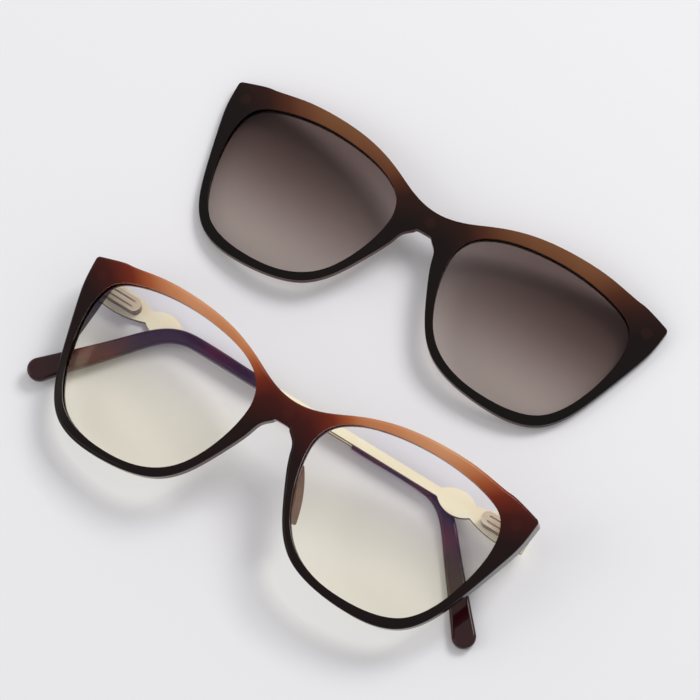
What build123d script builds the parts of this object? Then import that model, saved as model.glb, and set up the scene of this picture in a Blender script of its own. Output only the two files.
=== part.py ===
from build123d import *
from math import cos, radians, sin, sqrt, tan
import os

os.makedirs("parts", exist_ok=True)

# Eyeglasses with a magnetic sun clip, laid on a table: the glasses folded and face up, the clip beside them.
# Left and right are the wearer's, so left is at +X. All lengths are in millimetres.

# Front outline, shared by the glasses and the clip
front_width = 138.0
front_height = 49.4
wrap_radius = 300.0
tip_round = 1.2
overrun = 1.0

# Half outline from the bridge to the tip along the top, as shares of half the width and of the height
top_edge_shares = [(0.000, 0.788), (0.072, 0.801), (0.133, 0.830), (0.203, 0.876), (0.275, 0.920),
                   (0.362, 0.959), (0.464, 0.986), (0.609, 1.000), (0.725, 0.993), (0.841, 0.971),
                   (1.000, 0.925)]
# From the tip down the side, round the rim and up to the nose arch
lower_edge_shares = [(1.000, 0.925), (0.988, 0.767), (0.965, 0.646), (0.930, 0.492), (0.888, 0.322),
                     (0.838, 0.174), (0.771, 0.071), (0.681, 0.016), (0.580, 0.000), (0.471, 0.006),
                     (0.377, 0.030), (0.297, 0.077), (0.229, 0.162), (0.171, 0.287), (0.123, 0.419),
                     (0.087, 0.540), (0.066, 0.606), (0.038, 0.643), (0.000, 0.656)]
# Direction of each edge where they meet at the tip
top_tip_direction = (1, -0.28)
side_tip_direction = (-0.08, -1)
# Lens shape about its boxed centre, as shares of its width and height
lens_shares = [(-0.500, 0.151), (-0.491, 0.235), (-0.459, 0.315), (-0.385, 0.390), (-0.263, 0.450),
               (-0.113, 0.486), (0.038, 0.500), (0.207, 0.489), (0.357, 0.450), (0.451, 0.388),
               (0.489, 0.300), (0.500, 0.190), (0.487, 0.037), (0.449, -0.139), (0.395, -0.288),
               (0.310, -0.411), (0.188, -0.477), (0.038, -0.500), (-0.113, -0.489), (-0.235, -0.443),
               (-0.338, -0.354), (-0.419, -0.210), (-0.474, -0.037)]

# Glasses front
rim_depth = 3.8
bridge_width = 18.8
side_rim_width = 6.4
top_rim_height = 3.2
lens_open_rise = 2.4
front_edge_round = 0.9
groove_depth = 0.8
lens_clearance = 0.1
lens_thickness = 1.8
lens_setback = 0.9

# Sun clip
clip_depth = 2.8
clip_side_lip = 0.4
clip_top_lip = 1.0
clip_edge_round = 0.9
clip_lens_thickness = 1.1
clip_lens_setback = 0.7

# Magnets
magnet_radius = 1.5
magnet_thickness = 1.2
magnet_fit = 0.05
magnet_skin = 0.5
magnet_reach_share = 0.935
magnet_height_share = 0.845
bridge_magnet_height_share = 0.722

# Nose pads, whose edge on the nose side is given in shares of half the width and of the height
pad_edge_shares = [(0.216, 0.182), (0.178, 0.282), (0.130, 0.415), (0.099, 0.535), (0.084, 0.590)]
pad_width = 2.6
pad_depth = 4.2
pad_flare = 1.7
pad_end_round = 0.6
pad_round = 0.35

# Hinges
hinge_inset = 3.5
hinge_drop = 9.2
hinge_setback = 18.8
temple_slant = 9.0
butt_gap = 2.9
block_width = 5.4
knuckle_radius = 1.45
knuckle_height = 1.4
knuckle_gap = 0.05
leaf_height = 5.4
leaf_thickness = 0.7
leaf_outer = 1.1
leaf_inner = 1.7
leaf_corner = 0.4
post_radius = 0.5
post_length = 2.2
post_spacing = 3.6
screw_radius = 0.7
screw_fit = 0.04
screw_head_radius = 1.15
screw_head_height = 0.6
screw_slot_width = 0.3

# Temples
temple_length = 148.0
plate_inner = 1.6
plate_thickness = 1.4
plate_butt = 2.4
plate_corner = 0.7
bar_height = 2.5
neck_height = 3.6
hinge_lobe_height = 7.0
medallion_height = 7.2
hinge_lobe_at = 6.8
medallion_at = 19.2
neck_at = 14.1
bar_from = 24.4
neck_round = 0.6
tail_length = 16.0
tail_fit = 0.05
fold_spread = 1.15

# Spring housing inside each temple
housing_from = 1.8
housing_length = 9.6
housing_height = 3.9
housing_depth = 3.2
housing_groove_width = 0.45
housing_groove_depth = 0.35
shoulder_at = 4.2
shoulder_thickness = 0.8
spring_bore_radius = 1.25
slider_fit = 0.05
slider_arm_height = 1.3
slider_arm_depth = 1.7
slider_rod_radius = 0.5
slider_rod_end = 9.9
slider_head_radius = 1.1
slider_head_length = 0.8
flex_travel = 0.8
spring_radius = 0.88
spring_wire = 0.3
spring_turns = 6
spring_wire_sides = 6

# Temple tips
tip_from = 80.0
bend_from = 101.0
bend_radius = 15.0
bend_angle = 50.0
tip_start_height = 3.3
tip_end_height = 6.7
tip_thickness = 2.5
tip_end_thickness = 2.8
tip_curve_in = 1.5
tip_edge_round = 0.9

# Where the two pieces lie on the table
glasses_tilt = 11.35
glasses_roll = 1.52
glasses_place = (-0.38, -59.51)
glasses_lift = 15.35
clip_tilt = 4.03
clip_place = (-0.48, 9.43)
clip_lift = 7.85


half_width = front_width / 2
lens_open_width = half_width - bridge_width / 2 - side_rim_width
lens_open_height = front_height - lens_open_rise - top_rim_height
lens_pitch = lens_open_width + bridge_width
clip_open_width = lens_open_width - 2 * clip_side_lip
clip_open_height = lens_open_height - clip_top_lip
hinge_reach = half_width - hinge_inset
hinge_height = front_height - hinge_drop


def bow(x):
    """How far the wrapped front falls back at a distance x from the bridge."""
    return wrap_radius - sqrt(wrap_radius ** 2 - x ** 2)


def lying(place, lift, tilt, roll=0.0):
    """Plane of a front that lies face up, its top raised by tilt and its left end by roll, in degrees."""
    pitched = Plane(origin=(place[0], place[1], lift), x_dir=(1, 0, 0),
                    z_dir=(0, -sin(radians(tilt)), cos(radians(tilt))))
    return Plane(pitched.location * Location((0, 0, 0), (0, -roll, 0)))


def local(base, origin, x_dir=(1, 0, 0), z_dir=(0, 0, 1)):
    """Plane whose origin and directions are given in the frame of base."""
    return Plane(base.location * Plane(origin=origin, x_dir=x_dir, z_dir=z_dir).location)


glasses = lying(glasses_place, glasses_lift, glasses_tilt, glasses_roll)
clip = lying(clip_place, clip_lift, clip_tilt)


def keep(piece, name):
    """Label a finished piece and write it out."""
    piece.label = name
    export_step(piece, f"parts/{name}.step")


def front_outline():
    """Cat-eye outline of a whole front, without its openings."""
    with BuildSketch() as outline:
        with BuildLine():
            Spline(*[(x * half_width, y * front_height) for x, y in top_edge_shares],
                   tangents=[(1, 0), top_tip_direction])
            Spline(*[(x * half_width, y * front_height) for x, y in lower_edge_shares],
                   tangents=[side_tip_direction, (-1, 0)])
            mirror(about=Plane.YZ)
        make_face()
    return outline.sketch


def lens_outline(width, height, side, centre_height):
    """Lens shape of the given size on one side of the bridge."""
    centre = side * lens_pitch / 2
    with BuildSketch() as outline:
        with BuildLine():
            Spline(*[(centre + side * x * width, centre_height + y * height) for x, y in lens_shares],
                   periodic=True)
        make_face()
    return outline.sketch


def across(base):
    """Plane that looks down on a front, with its X along the front and its Y out of the face."""
    return local(base, (0, front_height + overrun, 0), z_dir=(0, -1, 0))


def wrapped_disc(depth, mode=Mode.ADD):
    """Disc whose edge follows the front's wrap at a depth behind the face."""
    with Locations((0, -wrap_radius)):
        Circle(wrap_radius - depth, mode=mode)


def wrapped_shell(base, near, far, mode):
    """Curved shell between two depths behind the face."""
    with BuildSketch(across(base)) as band:
        wrapped_disc(near)
        wrapped_disc(far, Mode.SUBTRACT)
    extrude(band.sketch, amount=front_height + 2 * overrun, mode=mode)


def lens_blank(base, side, width, height, near, far):
    """Wrapped plate of the lens shape, between two depths behind the face."""
    with BuildPart() as blank:
        with BuildSketch(base.offset(-(bow(half_width) + far + overrun))):
            add(lens_outline(width, height, side, lens_open_rise + lens_open_height / 2))
        extrude(amount=bow(half_width) + far + 2 * overrun)
        wrapped_shell(base, near, far, Mode.INTERSECT)
    return blank.part


# Frame of each hinge
slant = radians(temple_slant)
hinge_points = {side: (side * hinge_reach, hinge_height, -hinge_setback) for side in (1, -1)}
side_names = {1: "left", -1: "right"}
open_back = Vector(0, -sin(slant), -cos(slant))
hinge_up = Vector(0, cos(slant), -sin(slant))


def temple_plane(side, fold):
    """Plane of a temple: X runs back from the hinge, Y up its axis, Z outward on the left side."""
    turn = radians(fold)
    outward = Vector(side, 0, 0)
    back = open_back * cos(turn) - outward * sin(turn)
    out = outward * cos(turn) + open_back * sin(turn)
    return local(glasses, hinge_points[side], x_dir=tuple(back), z_dir=tuple(out * side))


open_planes = {side: temple_plane(side, 0) for side in (1, -1)}
fold_angles = {1: 90 + fold_spread, -1: 90 - fold_spread}
folded_planes = {side: temple_plane(side, fold_angles[side]) for side in (1, -1)}


def hinge_post(side):
    """Plane of a hinge leaf, with X up the hinge and Y outward, looking into the end block."""
    return local(open_planes[side], (-butt_gap, 0, 0), x_dir=(0, 1, 0), z_dir=(-1, 0, 0))



# Glasses front
block_back_y = hinge_height + butt_gap * sin(slant)
block_back_z = -hinge_setback + butt_gap * cos(slant)
shell_back = -(bow(half_width) + rim_depth)


def block_back(y):
    """Depth of the sloping back face of the end blocks at a height y."""
    return block_back_z - (y - block_back_y) * tan(slant)


block_foot = block_back_y + (block_back_z - shell_back) / tan(slant)
block_start = hinge_reach + leaf_outer + plate_inner - block_width
front_top = front_height + overrun

grooves = [lens_blank(glasses, side, lens_open_width + 2 * groove_depth,
                      lens_open_height + 2 * groove_depth, lens_setback - lens_clearance,
                      lens_setback + lens_thickness + lens_clearance)
           for side in (1, -1)]

with BuildPart() as magnet_pockets:
    with BuildSketch(glasses.offset(-magnet_skin - magnet_thickness - 2 * magnet_fit)):
        with Locations((0, bridge_magnet_height_share * front_height)):
            Circle(magnet_radius + magnet_fit)
    extrude(amount=magnet_thickness + 2 * magnet_fit)

magnet_reach = magnet_reach_share * half_width
magnet_height = magnet_height_share * front_height


def magnet_plane(base, side, depth):
    """Plane square to the wrapped face at an end magnet, at a depth behind the face."""
    turn = side * magnet_reach / wrap_radius
    normal = Vector(sin(turn), 0, cos(turn))
    foot = Vector(0, magnet_height, -wrap_radius) + normal * (wrap_radius - depth)
    return local(base, tuple(foot), x_dir=(cos(turn), 0, -sin(turn)), z_dir=tuple(normal))


with BuildPart() as front_frame:
    with BuildSketch(glasses.offset(-hinge_setback)):
        add(front_outline())
    extrude(amount=hinge_setback + overrun)
    with BuildSketch(across(glasses)):
        wrapped_disc(0)
        with BuildSketch(mode=Mode.SUBTRACT):
            wrapped_disc(rim_depth)
            Rectangle(2 * block_start, 4 * wrap_radius, mode=Mode.INTERSECT)
    extrude(amount=front_height + 2 * overrun, mode=Mode.INTERSECT)
    with BuildSketch(local(glasses, (-front_width, 0, 0), x_dir=(0, 1, 0), z_dir=(1, 0, 0))):
        with BuildLine():
            Polyline((-overrun, overrun), (front_top, overrun), (front_top, block_back(front_top)),
                     (block_foot, shell_back), (-overrun, shell_back), close=True)
        make_face()
    extrude(amount=2 * front_width, mode=Mode.INTERSECT)
    corners = front_frame.edges().filter_by(GeomType.LINE).sort_by(Axis.X)
    fillet([corners[0], corners[-1]], tip_round)
    fillet(front_frame.faces().sort_by(SortBy.AREA)[-1].edges(), front_edge_round)
    with BuildSketch(glasses.offset(-hinge_setback)):
        for side in (1, -1):
            add(lens_outline(lens_open_width, lens_open_height, side, lens_open_rise + lens_open_height / 2))
    extrude(amount=hinge_setback + overrun, mode=Mode.SUBTRACT)
    for groove in grooves:
        add(groove, mode=Mode.SUBTRACT)
    add(magnet_pockets.part, mode=Mode.SUBTRACT)
    for side in (1, -1):
        with BuildSketch(magnet_plane(glasses, side, magnet_skin + magnet_thickness + 2 * magnet_fit)):
            Circle(magnet_radius + magnet_fit)
        extrude(amount=magnet_thickness + 2 * magnet_fit, mode=Mode.SUBTRACT)
        with BuildSketch(hinge_post(side)):
            with Locations((post_spacing / 2, 0), (-post_spacing / 2, 0)):
                Circle(post_radius + magnet_fit)
        extrude(amount=post_length + magnet_fit, mode=Mode.SUBTRACT)
keep(front_frame.part, "front_frame")

# Lenses of the glasses
for side, name in side_names.items():
    lens = lens_blank(glasses, side, lens_open_width + 2 * (groove_depth - lens_clearance),
                      lens_open_height + 2 * (groove_depth - lens_clearance),
                      lens_setback, lens_setback + lens_thickness)
    keep(lens, f"lens_{name}")

# Magnets in the bridge and the end pieces
with BuildPart() as frame_magnet_bridge:
    with BuildSketch(glasses.offset(-magnet_skin - magnet_fit - magnet_thickness)):
        with Locations((0, bridge_magnet_height_share * front_height)):
            Circle(magnet_radius)
    extrude(amount=magnet_thickness)
keep(frame_magnet_bridge.part, "frame_magnet_bridge")

for side, name in side_names.items():
    with BuildPart() as frame_magnet:
        with BuildSketch(magnet_plane(glasses, side, magnet_skin + magnet_fit + magnet_thickness)):
            Circle(magnet_radius)
        extrude(amount=magnet_thickness)
    keep(frame_magnet.part, f"frame_magnet_{name}")

# Nose pads, each a crescent that follows the inner rim and flares away from the nose
pad_edge = [(x * half_width, y * front_height) for x, y in pad_edge_shares]
pad_middle = pad_edge[len(pad_edge) // 2]
pad_back = glasses.from_local_coords((0, 0, -pad_depth)) - glasses.origin
pad_out = glasses.from_local_coords((pad_flare, 0, 0)) - glasses.origin

for side, name in side_names.items():
    with BuildPart() as nose_pad:
        with BuildSketch(glasses.offset(-rim_depth)) as crescent:
            with BuildLine():
                Spline(*[(side * x, y) for x, y in pad_edge])
                ThreePointArc((side * pad_edge[0][0], pad_edge[0][1]),
                              (side * (pad_middle[0] + pad_width), pad_middle[1]),
                              (side * pad_edge[-1][0], pad_edge[-1][1]))
            make_face()
            fillet(crescent.vertices(), pad_end_round)
        extrude(amount=(pad_back + pad_out).length, dir=pad_back + side * pad_out)
        fillet(nose_pad.faces().sort_by(Axis.Z)[0].edges(), pad_round)
        wrapped_shell(glasses, rim_depth, wrap_radius - overrun, Mode.INTERSECT)
    keep(nose_pad.part, f"nose_pad_{name}")

# Hinges: leaf fixed to the end block, and the screw through its knuckles
for side, name in side_names.items():
    with BuildPart() as hinge_leaf:
        with BuildSketch(hinge_post(side)):
            with Locations((0, -side * (leaf_outer - leaf_inner) / 2)):
                RectangleRounded(leaf_height, leaf_outer + leaf_inner, leaf_corner)
        extrude(amount=-leaf_thickness)
        with BuildSketch(hinge_post(side)):
            with Locations((post_spacing / 2, 0), (-post_spacing / 2, 0)):
                Circle(post_radius)
        extrude(amount=post_length)
        for level in (1, -1):
            start = level * (knuckle_height / 2 + knuckle_gap)
            with BuildSketch(local(open_planes[side], (0, start, 0), x_dir=(1, 0, 0), z_dir=(0, level, 0))):
                Circle(knuckle_radius)
                with Locations((-butt_gap / 2, 0)):
                    Rectangle(butt_gap, knuckle_radius)
            extrude(amount=knuckle_height)
        with BuildSketch(local(open_planes[side], (0, -front_height, 0), z_dir=(0, 1, 0))):
            Circle(screw_radius + screw_fit)
        extrude(amount=2 * front_height, mode=Mode.SUBTRACT)
    keep(hinge_leaf.part, f"hinge_leaf_{name}")

    shank = 3 * knuckle_height + 2 * knuckle_gap
    with BuildPart() as hinge_screw:
        with BuildSketch(local(open_planes[side], (0, -shank / 2, 0), z_dir=(0, 1, 0))):
            Circle(screw_radius)
        extrude(amount=shank)
        with BuildSketch(local(open_planes[side], (0, shank / 2 + knuckle_gap, 0), z_dir=(0, 1, 0))):
            Circle(screw_head_radius)
        extrude(amount=screw_head_height)
        with BuildSketch(local(open_planes[side], (0, shank / 2 + knuckle_gap, 0), z_dir=(0, 1, 0))):
            Circle(screw_radius)
        extrude(amount=-2 * knuckle_gap)
        with BuildSketch(local(open_planes[side], (0, shank / 2 + knuckle_gap + screw_head_height, 0),
                               z_dir=(0, 1, 0))):
            Rectangle(4 * screw_head_radius, screw_slot_width)
        extrude(amount=-screw_head_height / 2, mode=Mode.SUBTRACT)
    keep(hinge_screw.part, f"hinge_screw_{name}")


def plate_level(side, out):
    """Plane of a folded temple at a distance outward from its hinge axis."""
    return folded_planes[side].offset(side * out)


def along(side, place, out=0):
    """Plane across a folded temple, looking back along it, with X up the hinge axis."""
    return local(folded_planes[side], (place, 0, side * out), x_dir=(0, 1, 0), z_dir=(1, 0, 0))


housing_straight = housing_length - housing_height / 2
spring_length = (slider_rod_end - slider_head_length - flex_travel - shoulder_at - shoulder_thickness
                 - spring_wire - 2 * slider_fit)
tip_run = temple_length - tip_from
tip_room = 3 * tip_end_thickness + tip_curve_in
bend_length = bend_radius * radians(bend_angle)


def tip_point(run, edge):
    """Point on the tip's upper (1) or lower (-1) edge, or its middle line (0), a run behind its start."""
    half_height = (tip_start_height + (tip_end_height - tip_start_height) * (run / tip_run) ** 2) / 2
    turned = min(max(run - (bend_from - tip_from), 0), bend_length) / bend_radius
    before = min(run, bend_from - tip_from)
    after = max(run - (bend_from - tip_from) - bend_length, 0)
    back = tip_from + before + bend_radius * sin(turned) + after * cos(turned)
    down = bend_radius * (1 - cos(turned)) + after * sin(turned)
    return (back + edge * half_height * sin(turned), -down + edge * half_height * cos(turned))


tip_station_shares = [0, 0.15, 0.30, 0.36, 0.43, 0.50, 0.62, 0.78, 0.95]
tip_end_place = tip_point(tip_run, 0)[0]
tip_span = tip_end_place - tip_from
tip_section_shares = [0, 0.2, 0.4, 0.6, 0.8, 1.0, 1.15]
tip_places = [tip_from + tip_span * share for share in tip_section_shares]


def tip_middle(place):
    """How far outward the tip's middle stands from the hinge axis, at a place back along the temple."""
    curved = max(place - bend_from, 0) / (tip_end_place - bend_from)
    return plate_inner + plate_thickness / 2 - tip_curve_in * curved ** 2


def tip_half_depth(place):
    """Half the thickness of the tip at a place back along the temple."""
    return (tip_thickness + (tip_end_thickness - tip_thickness) * (place - tip_from) / tip_span) / 2


# Temples: stamped plate, spring housing, slider, spring and plastic tip
for side, name in side_names.items():
    with BuildPart() as temple:
        with BuildSketch(plate_level(side, plate_inner)) as plate:
            with BuildLine():
                ThreePointArc((-plate_butt, leaf_height / 2),
                              (hinge_lobe_at, hinge_lobe_height / 2),
                              (neck_at, neck_height / 2))
                ThreePointArc((neck_at, neck_height / 2),
                              (medallion_at, medallion_height / 2),
                              (bar_from, bar_height / 2))
                Line((bar_from, bar_height / 2), (tip_from, bar_height / 2))
                Line((tip_from, bar_height / 2), (tip_from, bar_height / 4))
                Line((tip_from, bar_height / 4), (tip_from + tail_length, bar_height / 4))
                Line((tip_from + tail_length, bar_height / 4), (tip_from + tail_length, 0))
                mirror(about=Plane.XZ)
                Line((-plate_butt, leaf_height / 2), (-plate_butt, -leaf_height / 2))
            make_face()
            fillet(plate.vertices().filter_by_position(Axis.X, hinge_lobe_at, medallion_at), neck_round)
            fillet(plate.vertices().filter_by_position(Axis.X, medallion_at, bar_from + overrun), neck_round)
        extrude(amount=side * plate_thickness)
        butt_corner = plate_level(side, plate_inner + plate_thickness).from_local_coords((-plate_butt, 0, 0))
        chamfer(temple.edges().sort_by_distance(butt_corner)[0], plate_corner)
    keep(temple.part, f"temple_{name}")

    # Housing soldered to the inner side of the plate, with the chamber for the spring
    with BuildPart() as hinge_housing:
        with BuildSketch(plate_level(side, plate_inner - housing_depth)):
            with Locations((housing_from + housing_straight / 2, 0)):
                Rectangle(housing_straight, housing_height)
            with Locations((housing_from + housing_straight, 0)):
                Circle(housing_height / 2)
        extrude(amount=side * housing_depth)
        with BuildSketch(plate_level(side, plate_inner - housing_depth)):
            with Locations((housing_from + (housing_straight - overrun) / 2, housing_height / 5),
                           (housing_from + (housing_straight - overrun) / 2, -housing_height / 5)):
                SlotOverall(housing_straight + overrun, housing_groove_width)
        extrude(amount=side * housing_groove_depth, mode=Mode.SUBTRACT)
        with BuildSketch(along(side, housing_from - overrun)):
            Rectangle(slider_arm_height + 2 * slider_fit, slider_arm_depth + 2 * slider_fit)
        extrude(amount=shoulder_at - housing_from + overrun, mode=Mode.SUBTRACT)
        with BuildSketch(along(side, shoulder_at)):
            Circle(slider_rod_radius + slider_fit)
        extrude(amount=shoulder_thickness, mode=Mode.SUBTRACT)
        with BuildSketch(along(side, shoulder_at + shoulder_thickness)):
            Circle(spring_bore_radius)
        extrude(amount=slider_rod_end + slider_fit - shoulder_at - shoulder_thickness, mode=Mode.SUBTRACT)
    keep(hinge_housing.part, f"hinge_housing_{name}")

    # Slider with the middle knuckle, an arm and a headed rod
    with BuildPart() as hinge_slider:
        with BuildSketch(local(folded_planes[side], (0, -knuckle_height / 2, 0), z_dir=(0, 1, 0))):
            Circle(knuckle_radius)
        extrude(amount=knuckle_height)
        with BuildSketch(along(side, 0)):
            Rectangle(slider_arm_height, slider_arm_depth)
        extrude(amount=shoulder_at - slider_fit)
        with BuildSketch(along(side, 0)):
            Circle(slider_rod_radius)
        extrude(amount=slider_rod_end)
        with BuildSketch(along(side, slider_rod_end - slider_head_length)):
            Circle(slider_head_radius)
        extrude(amount=slider_head_length)
        with BuildSketch(local(folded_planes[side], (0, -front_height, 0), z_dir=(0, 1, 0))):
            Circle(screw_radius + screw_fit)
        extrude(amount=2 * front_height, mode=Mode.SUBTRACT)
    keep(hinge_slider.part, f"hinge_slider_{name}")

    # Spring between the shoulder and the head of the rod
    spring_start = along(side, shoulder_at + shoulder_thickness + spring_wire / 2 + slider_fit)
    with BuildPart() as hinge_spring:
        with BuildLine():
            coil = Helix(spring_length / spring_turns, spring_length, spring_radius,
                         center=spring_start.origin, direction=spring_start.z_dir)
        with BuildSketch(Plane(origin=coil @ 0, z_dir=coil % 0)):
            RegularPolygon(spring_wire / 2, spring_wire_sides)
        sweep()
    keep(hinge_spring.part, f"hinge_spring_{name}")

    # Plastic tip over the tail of the plate, bent down and inwards behind the ear
    upper_points = [tip_point(tip_run * share, 1) for share in tip_station_shares]
    lower_points = [tip_point(tip_run * share, -1) for share in tip_station_shares]
    with BuildPart() as temple_tip:
        with BuildSketch(folded_planes[side]):
            with BuildLine():
                Spline(*upper_points)
                Spline(*lower_points)
                Line(upper_points[0], lower_points[0])
                ThreePointArc(upper_points[-1], tip_point(tip_run, 0), lower_points[-1])
            make_face()
        extrude(amount=tip_room, both=True)
        with BuildSketch(local(folded_planes[side], (0, 0, 0), z_dir=(0, -1, 0))):
            with BuildLine():
                inner_points = [(place, side * (tip_middle(place) - tip_half_depth(place)))
                                for place in tip_places]
                outer_points = [(place, side * (tip_middle(place) + tip_half_depth(place)))
                                for place in tip_places]
                Spline(*inner_points)
                Spline(*outer_points)
                Line(inner_points[0], outer_points[0])
                Line(inner_points[-1], outer_points[-1])
            make_face()
        extrude(amount=front_width, both=True, mode=Mode.INTERSECT)
        long_edges = temple_tip.edges().filter_by(GeomType.LINE, reverse=True)
        fillet(long_edges, tip_edge_round)
        with BuildSketch(along(side, tip_from - overrun, plate_inner + plate_thickness / 2)):
            Rectangle(bar_height / 2 + 2 * tail_fit, plate_thickness + 2 * tail_fit)
        extrude(amount=overrun + tail_length + tail_fit, mode=Mode.SUBTRACT)
    keep(temple_tip.part, f"temple_tip_{name}")

# Sun clip: frame, lenses and magnets
clip_grooves = [lens_blank(clip, side, clip_open_width + 2 * groove_depth,
                           clip_open_height + 2 * groove_depth, clip_lens_setback - lens_clearance,
                           clip_lens_setback + clip_lens_thickness + lens_clearance)
                for side in (1, -1)]

with BuildPart() as clip_frame:
    with BuildSketch(clip.offset(-(bow(half_width) + clip_depth + overrun))):
        add(front_outline())
    extrude(amount=bow(half_width) + clip_depth + 2 * overrun)
    wrapped_shell(clip, 0, clip_depth, Mode.INTERSECT)
    corners = clip_frame.edges().filter_by(GeomType.LINE).sort_by(Axis.X)
    fillet([corners[0], corners[-1]], tip_round)
    fillet(clip_frame.faces().sort_by(SortBy.AREA)[-1].edges(), clip_edge_round)
    with BuildSketch(clip.offset(-(bow(half_width) + clip_depth + overrun))):
        for side in (1, -1):
            add(lens_outline(clip_open_width, clip_open_height, side, lens_open_rise + clip_open_height / 2))
    extrude(amount=bow(half_width) + clip_depth + 2 * overrun, mode=Mode.SUBTRACT)
    for groove in clip_grooves:
        add(groove, mode=Mode.SUBTRACT)
    with BuildSketch(clip.offset(-clip_depth - overrun)):
        with Locations((0, bridge_magnet_height_share * front_height)):
            Circle(magnet_radius + magnet_fit)
    extrude(amount=overrun + magnet_thickness + magnet_fit, mode=Mode.SUBTRACT)
    for side in (1, -1):
        with BuildSketch(magnet_plane(clip, side, clip_depth + overrun)):
            Circle(magnet_radius + magnet_fit)
        extrude(amount=overrun + magnet_thickness + magnet_fit, mode=Mode.SUBTRACT)
keep(clip_frame.part, "clip_frame")

for side, name in side_names.items():
    clip_lens = lens_blank(clip, side, clip_open_width + 2 * (groove_depth - lens_clearance),
                           clip_open_height + 2 * (groove_depth - lens_clearance),
                           clip_lens_setback, clip_lens_setback + clip_lens_thickness)
    keep(clip_lens, f"clip_lens_{name}")
    with BuildPart() as clip_magnet:
        with BuildSketch(magnet_plane(clip, side, clip_depth)):
            Circle(magnet_radius)
        extrude(amount=magnet_thickness)
    keep(clip_magnet.part, f"clip_magnet_{name}")

with BuildPart() as clip_magnet_bridge:
    with BuildSketch(clip.offset(-clip_depth)):
        with Locations((0, bridge_magnet_height_share * front_height)):
            Circle(magnet_radius)
    extrude(amount=magnet_thickness)
keep(clip_magnet_bridge.part, "clip_magnet_bridge")
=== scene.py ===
"""The looks of a pair of cat-eye eyeglasses and its magnetic sun clip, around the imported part."""

from __future__ import annotations

import logging
import math
from dataclasses import dataclass, field
from enum import Enum
from typing import Any

import bpy
from mathutils import Matrix, Vector


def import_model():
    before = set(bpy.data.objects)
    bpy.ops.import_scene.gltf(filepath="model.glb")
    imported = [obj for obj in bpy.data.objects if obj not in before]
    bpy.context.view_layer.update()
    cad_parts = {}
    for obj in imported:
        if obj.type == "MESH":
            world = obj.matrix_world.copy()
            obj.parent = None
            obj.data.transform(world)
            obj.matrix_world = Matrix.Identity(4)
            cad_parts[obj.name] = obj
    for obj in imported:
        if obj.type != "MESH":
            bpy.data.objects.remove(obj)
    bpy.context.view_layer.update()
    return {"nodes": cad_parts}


LOG = logging.getLogger("eyewear")
MM = 0.001
Colour = tuple[float, float, float]
Span = tuple[float, float]
WHITE = (1.0, 1.0, 1.0)


def linear(red: int, green: int, blue: int) -> Colour:
    """Linear colour of an sRGB colour given in steps of 255."""
    shares = (red / 255, green / 255, blue / 255)
    return tuple(c / 12.92 if c <= 0.04045 else ((c + 0.055) / 1.055) ** 2.4 for c in shares)


class Side(Enum):
    """The wearer's sides, with the sign of X on each."""

    LEFT = 1
    RIGHT = -1

    @property
    def word(self) -> str:
        """The side's name as the part's nodes have it."""
        return self.name.lower()


class Value:
    """A number that varies over a surface: one output socket, with Python's operators as Math nodes."""

    def __init__(self, shading: "Shading", socket: bpy.types.NodeSocket) -> None:
        """Wrap a socket of a node tree."""
        self.shading = shading
        self.socket = socket

    def _maths(self, operation: str, *values: Any) -> "Value":
        """Add a Math node.

        Args:
            operation: the node's operation.
            values: its inputs, as numbers or values.

        Returns:
            The node's result.
        """
        return self.shading.node("ShaderNodeMath", {"operation": operation}, *values)

    def __add__(self, other: Any) -> "Value":
        """This value plus another."""
        return self._maths("ADD", self, other)

    __radd__ = __add__

    def __sub__(self, other: Any) -> "Value":
        """This value less another."""
        return self._maths("SUBTRACT", self, other)

    def __rsub__(self, other: Any) -> "Value":
        """Another value less this one."""
        return self._maths("SUBTRACT", other, self)

    def __mul__(self, other: Any) -> "Value":
        """This value times another."""
        return self._maths("MULTIPLY", self, other)

    __rmul__ = __mul__

    def __truediv__(self, other: Any) -> "Value":
        """This value over another."""
        return self._maths("DIVIDE", self, other)

    def __pow__(self, other: Any) -> "Value":
        """This value to a power."""
        return self._maths("POWER", self, other)

    def __abs__(self) -> "Value":
        """This value without its sign."""
        return self._maths("ABSOLUTE", self)

    def over(self, other: Any) -> "Value":
        """The larger of this value and another."""
        return self._maths("MAXIMUM", self, other)

    def under(self, other: Any) -> "Value":
        """The smaller of this value and another."""
        return self._maths("MINIMUM", self, other)

    def rise(self, start: float, end: float) -> "Value":
        """A smooth step of this value.

        Args:
            start: where the step is 0.
            end: where the step is 1.

        Returns:
            The step, from 0 to 1.
        """
        settings = {"interpolation_type": "SMOOTHSTEP"}
        return self.shading.node("ShaderNodeMapRange", settings, self, start, end, 0.0, 1.0)


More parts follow.
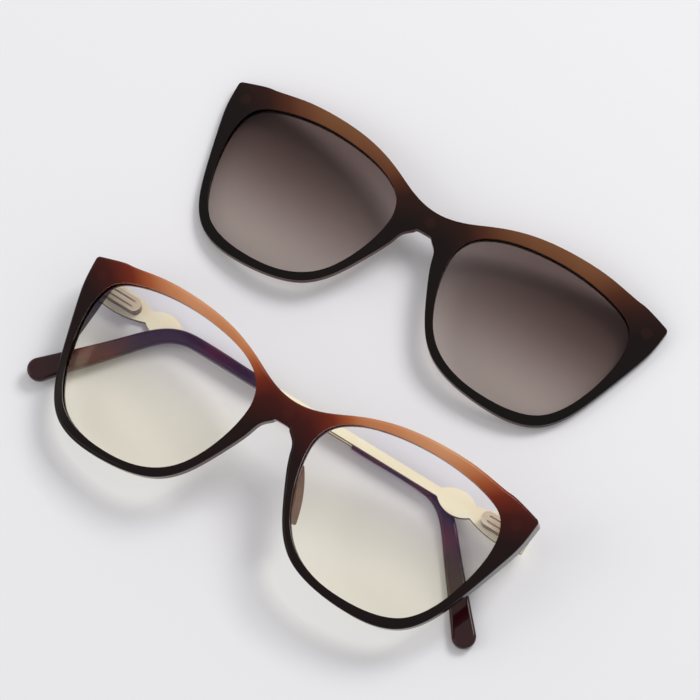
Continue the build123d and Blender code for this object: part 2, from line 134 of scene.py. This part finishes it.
class Shading:
    """A shader tree under construction, with one method for its nodes."""

    def __init__(self, owner: bpy.types.Material | bpy.types.World) -> None:
        """Start the tree of a material or a world empty."""
        owner.use_nodes = True
        self.tree = owner.node_tree
        self.tree.nodes.clear()

    def node(self, kind: str, settings: dict[str, Any], *values: Any, output: int | str = 0,
             **named: Any) -> Value:
        """Add a node.

        Args:
            kind: the node's type.
            settings: what is set on the node before its inputs.
            values: inputs in order, as numbers, colours or values; None leaves one alone.
            output: the output that is wanted.
            named: inputs by name, with underscores for spaces.

        Returns:
            The wanted output.
        """
        made = self.tree.nodes.new(kind)
        for key, value in settings.items():
            if key == "stops":
                self._set_stops(made.color_ramp, value)
            else:
                setattr(made, key, value)
        sockets = [s for s in made.inputs if s.enabled]
        pairs = list(zip(sockets, values))
        pairs += [(made.inputs[key.replace("_", " ")], value) for key, value in named.items()]
        for socket, value in pairs:
            if isinstance(value, Value):
                self.tree.links.new(value.socket, socket)
            elif value is not None:
                socket.default_value = self._fitted(socket, value)
        outputs = [s for s in made.outputs if s.enabled]
        return Value(self, made.outputs[output] if isinstance(output, str) else outputs[output])

    @staticmethod
    def _fitted(socket: bpy.types.NodeSocket, value: Any) -> Any:
        """A colour gets its fourth number where the socket wants one."""
        return (*value, 1.0) if socket.type == "RGBA" and len(value) == 3 else value

    @staticmethod
    def _set_stops(ramp: bpy.types.ColorRamp, stops: list[tuple[float, Colour]]) -> None:
        """Give a colour ramp its stops."""
        while len(ramp.elements) < len(stops):
            ramp.elements.new(0.5)
        for element, (place, colour) in zip(ramp.elements, stops):
            element.position = place
            element.color = (*colour, 1.0)

    def close(self, kind: str, shader: Value) -> None:
        """Close the tree with its output node."""
        last = self.tree.nodes.new(kind)
        self.tree.links.new(shader.socket, last.inputs["Surface"])


class Finish(Shading):
    """A material under construction, with what the finishes have in common."""

    def __init__(self, name: str) -> None:
        """Start an empty material."""
        self.material = bpy.data.materials.new(name)
        super().__init__(self.material)

    def ramp(self, value: Value, stops: list[tuple[float, Colour]]) -> Value:
        """Colours along a value."""
        return self.node("ShaderNodeValToRGB", {"stops": stops}, value)

    def blend(self, share: Value, first: Any, second: Any) -> Value:
        """A mix of two colours."""
        settings = {"data_type": "RGBA"}
        return self.node("ShaderNodeMix", settings, share, first, second)

    def place(self, origin: Vector, turn: Matrix) -> tuple[Value, Value, Value]:
        """Coordinates in the frame of a front, in millimetres.

        Args:
            origin: the front's datum point, in metres.
            turn: the front's rotation.

        Returns:
            Along the front, up the front and out of its face.
        """
        back = turn.inverted()
        where = self.node("ShaderNodeTexCoord", {}, output="Object")
        local = self.node("ShaderNodeMapping", {"vector_type": "POINT"}, where,
                          tuple(-(back @ origin) / MM), tuple(back.to_euler("XYZ")), (1 / MM,) * 3)
        split = [self.node("ShaderNodeSeparateXYZ", {}, local, output=k) for k in "XYZ"]
        return tuple(split)

    def grain(self, scale: float, detail: float = 2.0) -> Value:
        """Smooth noise fixed to the piece, about 0.5."""
        where = self.node("ShaderNodeTexCoord", {}, output="Object")
        settings = {"noise_dimensions": "3D"}
        return self.node("ShaderNodeTexNoise", settings, where, Scale=scale, Detail=detail)

    def sideways(self, turn: Matrix) -> Value:
        """How far a surface faces away from a front's own direction; the mask for painted shade on
        sideways walls.

        Args:
            turn: the front's rotation.

        Returns:
            0 on surfaces that face straight out or back, 1 on the walls between them.
        """
        normal = self.node("ShaderNodeTexCoord", {}, output="Normal")
        facing = self.node("ShaderNodeVectorMath", {"operation": "DOT_PRODUCT"}, normal,
                           tuple(turn @ Vector((0.0, 0.0, 1.0))), output="Value")
        return 1.0 - abs(facing)

    def bump(self, height: Value, strength: float, distance: float) -> Value:
        """A normal bent by a height."""
        return self.node("ShaderNodeBump", {}, Height=height, Strength=strength, Distance=distance)

    def end(self, shader: Value) -> bpy.types.Material:
        """Close the tree with a shader."""
        self.close("ShaderNodeOutputMaterial", shader)
        return self.material


@dataclass(frozen=True)
class Lying:
    """How a front lies on the table: its datum in millimetres and its tilt and roll in degrees."""

    datum: tuple[float, float, float]
    tilt: float
    roll: float = 0.0

    @property
    def turn(self) -> Matrix:
        """Rotation of the front."""
        pitch = Matrix.Rotation(math.radians(self.tilt), 3, "X")
        return pitch @ Matrix.Rotation(math.radians(-self.roll), 3, "Y")

    @property
    def origin(self) -> Vector:
        """Datum point in metres."""
        return Vector(self.datum) * MM


GLASSES = Lying((-0.38, -59.51, 15.35), 11.35, 1.52)
CLIP = Lying((-0.48, 9.43, 7.85), 4.03)


@dataclass(frozen=True)
class GradientPlastic:
    """Polished plastic, caramel along the tops of the rims, red at the bridge, nearly black below, with
    painted shade on the walls that face sideways.
    """

    name: str
    lying: Lying
    stops: tuple[tuple[float, Colour], ...]
    roughness: float = 0.10
    height: float = 49.4
    tip_darkening: float = 0.40
    bridge_darkening: float = 0.19
    magnets: tuple[tuple[float, float], ...] = ((0.0, 35.67), (64.5, 41.74))
    magnet_radius: float = 1.5
    magnet_edge: Span = (-0.25, 0.35)
    magnet_share: float = 0.08
    magnet_colour: Colour = linear(96, 44, 34)
    # Painted shade on the walls that face sideways to the front: its colour, its strength, the facing span
    # over which it rises and the span towards the tips over which it fades.
    wall: Colour = (0.13, 0.065, 0.052)
    wall_share: float = 0.6
    wall_turn: Span = (0.55, 0.97)
    wall_end: Span = (46.0, 64.0)
    bridge_span: Span = (5.0, 20.0)
    tip_span: Span = (38.0, 72.0)
    cloudiness: float = 0.07

    def build(self) -> bpy.types.Material:
        """Make the material."""
        finish = Finish(self.name)
        along, up, _ = finish.place(self.lying.origin, self.lying.turn)
        reach = abs(along)
        cloud = finish.grain(90.0) - 0.5
        level = up / self.height - reach.rise(*self.tip_span) * self.tip_darkening
        level = level - (1.0 - reach.rise(*self.bridge_span)) * self.bridge_darkening
        level = level + cloud * self.cloudiness
        colour = finish.ramp(level, list(self.stops))
        for far, high in self.magnets:
            gap = ((reach - far) ** 2 + (up - high) ** 2) ** 0.5
            mark = 1.0 - gap.rise(*(self.magnet_radius + edge for edge in self.magnet_edge))
            colour = finish.blend(mark * self.magnet_share, colour, self.magnet_colour)
        # Painted shade: walls that face sideways to the front are darkened, fading out towards the tips.
        wall = finish.sideways(self.lying.turn).rise(*self.wall_turn)
        wall = wall * (1.0 - reach.rise(*self.wall_end))
        colour = finish.blend(wall * self.wall_share, colour, self.wall)
        ripple = finish.bump(finish.grain(60.0, 0.0), 0.05, 0.0004)
        roughness = finish.grain(400.0) * 0.08 + (self.roughness - 0.04)
        return finish.end(finish.node(
            "ShaderNodeBsdfPrincipled", {}, Base_Color=colour, Roughness=roughness, IOR=1.5,
            Normal=ripple, Specular_IOR_Level=0.10))


@dataclass(frozen=True)
class Lens:
    """A lens that lets the table show through, tinted from its foot to its top, with a coated surface."""

    name: str
    lying: Lying
    low_tint: Colour
    high_tint: Colour
    low_coat: Colour
    high_coat: Colour
    fade: Span
    coat_fade: Span
    gloss: float
    most_mirror: float = 0.018

    def build(self) -> bpy.types.Material:
        """Make the material."""
        finish = Finish(self.name)
        _, up, _ = finish.place(self.lying.origin, self.lying.turn)
        cloud = (finish.grain(25.0, 1.0) - 0.5) * 6.0
        low = finish.node("ShaderNodeBsdfTransparent", {}, Color=self.low_tint)
        high = finish.node("ShaderNodeBsdfTransparent", {}, Color=self.high_tint)
        through = finish.node("ShaderNodeMixShader", {}, up.rise(*self.fade), low, high)
        foot = finish.node("ShaderNodeBsdfAnisotropic", {}, Color=self.low_coat, Roughness=0.03)
        top = finish.node("ShaderNodeBsdfAnisotropic", {}, Color=self.high_coat, Roughness=0.03)
        coat = finish.node("ShaderNodeMixShader", {}, (up + cloud).rise(*self.coat_fade), foot, top)
        mirror = (finish.node("ShaderNodeFresnel", {}, IOR=1.5) * self.gloss).under(self.most_mirror)
        return finish.end(finish.node("ShaderNodeMixShader", {}, mirror, through, coat))


@dataclass(frozen=True)
class Metal:
    """Plated or ground metal with faint brushing, and, where an edge colour is given, painted shade on
    walls that face sideways to the glasses' front.
    """

    name: str
    colour: Colour
    shade: Colour
    roughness: float
    brushing: float = 0.06
    metallic: float = 1.0
    # Colour of painted shade on the sideways walls, such as plate edges and housing grooves; None paints
    # none.
    edge: Colour | None = None

    def build(self) -> bpy.types.Material:
        """Make the material."""
        finish = Finish(self.name)
        haze = finish.grain(180.0, 3.0)
        fine = finish.grain(2600.0, 1.0)
        colour = finish.blend(haze.rise(0.35, 0.75), self.colour, self.shade)
        # Painted shade: walls facing sideways to the glasses' front are darkened, standing in for shade in
        # grooves and dark reflections on edges.
        if self.edge is not None:
            colour = finish.blend(finish.sideways(GLASSES.turn).rise(0.35, 0.9), colour, self.edge)
        return finish.end(finish.node(
            "ShaderNodeBsdfPrincipled", {}, Base_Color=colour, Metallic=self.metallic,
            Roughness=haze * 0.08 + (self.roughness - 0.04),
            Normal=finish.bump(fine, self.brushing, 0.0001)))


@dataclass(frozen=True)
class TipPlastic:
    """Dark glossy plastic of the temple tips, with redder patches laid by a noise."""

    name: str
    dark: Colour
    red: Colour

    def build(self) -> bpy.types.Material:
        """Make the material."""
        finish = Finish(self.name)
        cloud = finish.grain(70.0)
        colour = finish.blend(cloud.rise(0.40, 0.70), self.dark, self.red)
        ripple = finish.bump(finish.grain(90.0, 0.0), 0.05, 0.0004)
        return finish.end(finish.node(
            "ShaderNodeBsdfPrincipled", {}, Base_Color=colour, Roughness=finish.grain(500.0) * 0.05 + 0.06,
            IOR=1.5, Normal=ripple, Specular_IOR_Level=0.22))


@dataclass(frozen=True)
class PadPlastic:
    """Clear brown plastic of the nose pads."""

    name: str
    colour: Colour
    see_through: float = 0.78

    def build(self) -> bpy.types.Material:
        """Make the material."""
        finish = Finish(self.name)
        cloud = finish.grain(300.0)
        colour = finish.blend(cloud.rise(0.3, 0.8), self.colour, tuple(c * 0.75 for c in self.colour))
        return finish.end(finish.node(
            "ShaderNodeBsdfPrincipled", {}, Base_Color=colour, Roughness=0.14, IOR=1.5,
            Alpha=self.see_through))


class Wardrobe:
    """Every finish of the object, made once."""

    def __init__(self) -> None:
        """Build the finishes."""
        brown = ((0.0, linear(18, 6, 6)), (0.38, linear(26, 8, 7)), (0.54, linear(60, 15, 10)),
                 (0.68, linear(108, 36, 17)), (0.80, linear(154, 78, 42)), (0.92, linear(188, 122, 80)),
                 (1.0, linear(204, 146, 106)))
        dark = ((0.0, linear(10, 5, 4)), (0.48, linear(18, 8, 6)), (0.64, linear(42, 17, 11)),
                (0.78, linear(74, 37, 21)), (0.90, linear(100, 60, 36)), (1.0, linear(118, 76, 48)))
        self.front = GradientPlastic("front_plastic", GLASSES, brown).build()
        self.clip = GradientPlastic("clip_plastic", CLIP, dark).build()
        self.clear = Lens(
            "clear_lens", GLASSES, low_tint=(1.0, 0.990, 0.938), high_tint=WHITE,
            low_coat=(0.9, 0.8, 0.6), high_coat=(0.30, 0.28, 1.0),
            fade=(14.0, 46.0), coat_fade=(20.0, 36.0), gloss=0.55).build()
        self.sun = Lens(
            "sun_lens", CLIP, low_tint=(0.80, 0.765, 0.745), high_tint=(0.44, 0.375, 0.36),
            low_coat=(0.75, 0.70, 0.72), high_coat=(0.75, 0.70, 0.72),
            fade=(6.0, 48.0), coat_fade=(8.0, 40.0), gloss=0.20).build()
        # The edge colours of the gold plates and the housings are painted shade on their sideways walls
        # and grooves.
        self.gold = Metal("gold_plate", linear(255, 248, 216), linear(255, 242, 204), 0.34,
                          metallic=0.2, edge=linear(112, 80, 50)).build()
        self.housing = Metal("housing_plate", linear(255, 240, 208), linear(246, 222, 182), 0.20,
                             metallic=0.3, edge=linear(78, 52, 34)).build()
        self.steel = Metal("steel", linear(196, 190, 182), linear(160, 154, 148), 0.24).build()
        self.magnet = Metal("magnet", linear(150, 150, 152), linear(120, 120, 122), 0.3).build()
        self.tip = TipPlastic("tip_plastic", linear(42, 10, 14), linear(86, 15, 20)).build()
        self.pad = PadPlastic("pad_plastic", linear(110, 60, 44)).build()


class Assembly:
    """A sub-assembly of carried-over nodes that gets its finishes."""

    def __init__(self, nodes: dict[str, bpy.types.Object], finishes: Wardrobe) -> None:
        """Keep the part's nodes and the finishes."""
        self.nodes = nodes
        self.finishes = finishes

    def dress(self, name: str, material: bpy.types.Material) -> None:
        """Give a node its finish."""
        piece = self.nodes[name]
        for slot in piece.material_slots:
            slot.material = material
        LOG.info("%s has %s", name, material.name)


class GlassesFront(Assembly):
    """The glasses' front with its lenses, pads, magnets and hinge leaves."""

    def make(self) -> None:
        """Dress every node of the front."""
        self.dress("front_frame", self.finishes.front)
        self.dress("frame_magnet_bridge", self.finishes.magnet)
        for side in Side:
            self.dress(f"lens_{side.word}", self.finishes.clear)
            self.dress(f"nose_pad_{side.word}", self.finishes.pad)
            self.dress(f"frame_magnet_{side.word}", self.finishes.magnet)
            self.dress(f"hinge_leaf_{side.word}", self.finishes.steel)
            self.dress(f"hinge_screw_{side.word}", self.finishes.steel)


class Temple(Assembly):
    """One temple: plate, housing, slider, spring and tip."""

    def make(self, side: Side) -> None:
        """Dress every node of one temple."""
        self.dress(f"temple_{side.word}", self.finishes.gold)
        self.dress(f"hinge_housing_{side.word}", self.finishes.housing)
        self.dress(f"hinge_slider_{side.word}", self.finishes.steel)
        self.dress(f"hinge_spring_{side.word}", self.finishes.steel)
        self.dress(f"temple_tip_{side.word}", self.finishes.tip)


class SunClip(Assembly):
    """The clip with its tinted lenses and magnets."""

    def make(self) -> None:
        """Dress every node of the clip."""
        self.dress("clip_frame", self.finishes.clip)
        self.dress("clip_magnet_bridge", self.finishes.magnet)
        for side in Side:
            self.dress(f"clip_lens_{side.word}", self.finishes.sun)
            self.dress(f"clip_magnet_{side.word}", self.finishes.magnet)


@dataclass
class Studio:
    """A pale table, soft lamps and the camera."""

    table_half: float = 3.0
    table_colour: Colour = field(default_factory=lambda: linear(236, 235, 238))
    world_strength: float = 0.576
    lens: float = 2600 / 700 * 36
    camera_place: tuple[float, float, float] = (0.13509, -0.20735, 0.65118)
    camera_azimuth: float = 32.56
    camera_elevation: float = 68.78
    camera_roll: float = 0.23

    def make(self) -> None:
        """Make the table, the light and the camera."""
        self._table()
        self._world()
        self._lamp("key", (0.30, 1.00, 1.15), 0.60, 11.0)
        self._lamp("fill", (-0.90, -0.60, 0.70), 0.80, 3.0)
        self._camera()
        bpy.context.scene.view_settings.view_transform = "Standard"

    def _table(self) -> None:
        """A flat pale table top."""
        half = self.table_half
        mesh = bpy.data.meshes.new("table_top")
        corners = [(-half, -half, 0), (half, -half, 0), (half, half, 0), (-half, half, 0)]
        mesh.from_pydata(corners, [], [(0, 1, 2, 3)])
        table = bpy.data.objects.new("table_top", mesh)
        bpy.context.collection.objects.link(table)
        finish = Finish("table_top")
        mesh.materials.append(finish.end(finish.node(
            "ShaderNodeBsdfPrincipled", {}, Base_Color=self.table_colour, Roughness=0.6,
            Specular_IOR_Level=0.2)))

    def _world(self) -> None:
        """Soft light from all round, with a white backdrop for the camera and for mirrors."""
        world = bpy.data.worlds.new("studio")
        bpy.context.scene.world = world
        sky = Shading(world)
        camera, glossy, through = (
            sky.node("ShaderNodeLightPath", {}, output=f"Is {ray} Ray")
            for ray in ("Camera", "Glossy", "Transmission"))
        light = sky.node("ShaderNodeBackground", {}, Color=WHITE, Strength=self.world_strength)
        backdrop = sky.node("ShaderNodeBackground", {}, Color=WHITE, Strength=1.0)
        seen = camera.over(glossy).over(through)
        sky.close("ShaderNodeOutputWorld", sky.node("ShaderNodeMixShader", {}, seen, light, backdrop))

    @staticmethod
    def _lamp(name: str, place: tuple[float, float, float], size: float, power: float) -> None:
        """Hang a square soft lamp that faces the middle of the table."""
        data = bpy.data.lights.new(name, "AREA")
        data.shape = "SQUARE"
        data.size = size
        data.energy = power
        lamp = bpy.data.objects.new(name, data)
        lamp.location = place
        lamp.rotation_euler = (-Vector(place)).to_track_quat("-Z", "Y").to_euler()
        bpy.context.collection.objects.link(lamp)

    def _camera(self) -> None:
        """Set the camera where the photograph was taken from."""
        data = bpy.data.cameras.new("camera")
        data.lens = self.lens
        data.sensor_width = 36.0
        data.clip_start = 0.01
        camera = bpy.data.objects.new("camera", data)
        turn, rise = math.radians(self.camera_azimuth), math.radians(self.camera_elevation)
        back = Vector((math.sin(turn) * math.cos(rise), -math.cos(turn) * math.cos(rise), math.sin(rise)))
        right = Vector((math.cos(turn), math.sin(turn), 0.0))
        up = back.cross(right)
        basis = Matrix((right, up, back)).transposed()
        basis = basis @ Matrix.Rotation(math.radians(self.camera_roll), 3, "Z")
        camera.matrix_world = Matrix.Translation(self.camera_place) @ basis.to_4x4()
        bpy.context.collection.objects.link(camera)
        bpy.context.scene.camera = camera


def main() -> None:
    """Dress the part and set the studio."""
    logging.basicConfig(level=logging.INFO, format="%(message)s")
    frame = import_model()
    finishes = Wardrobe()
    GlassesFront(frame["nodes"], finishes).make()
    for side in Side:
        Temple(frame["nodes"], finishes).make(side)
    SunClip(frame["nodes"], finishes).make()
    Studio().make()


if __name__ == "__main__":
    main()
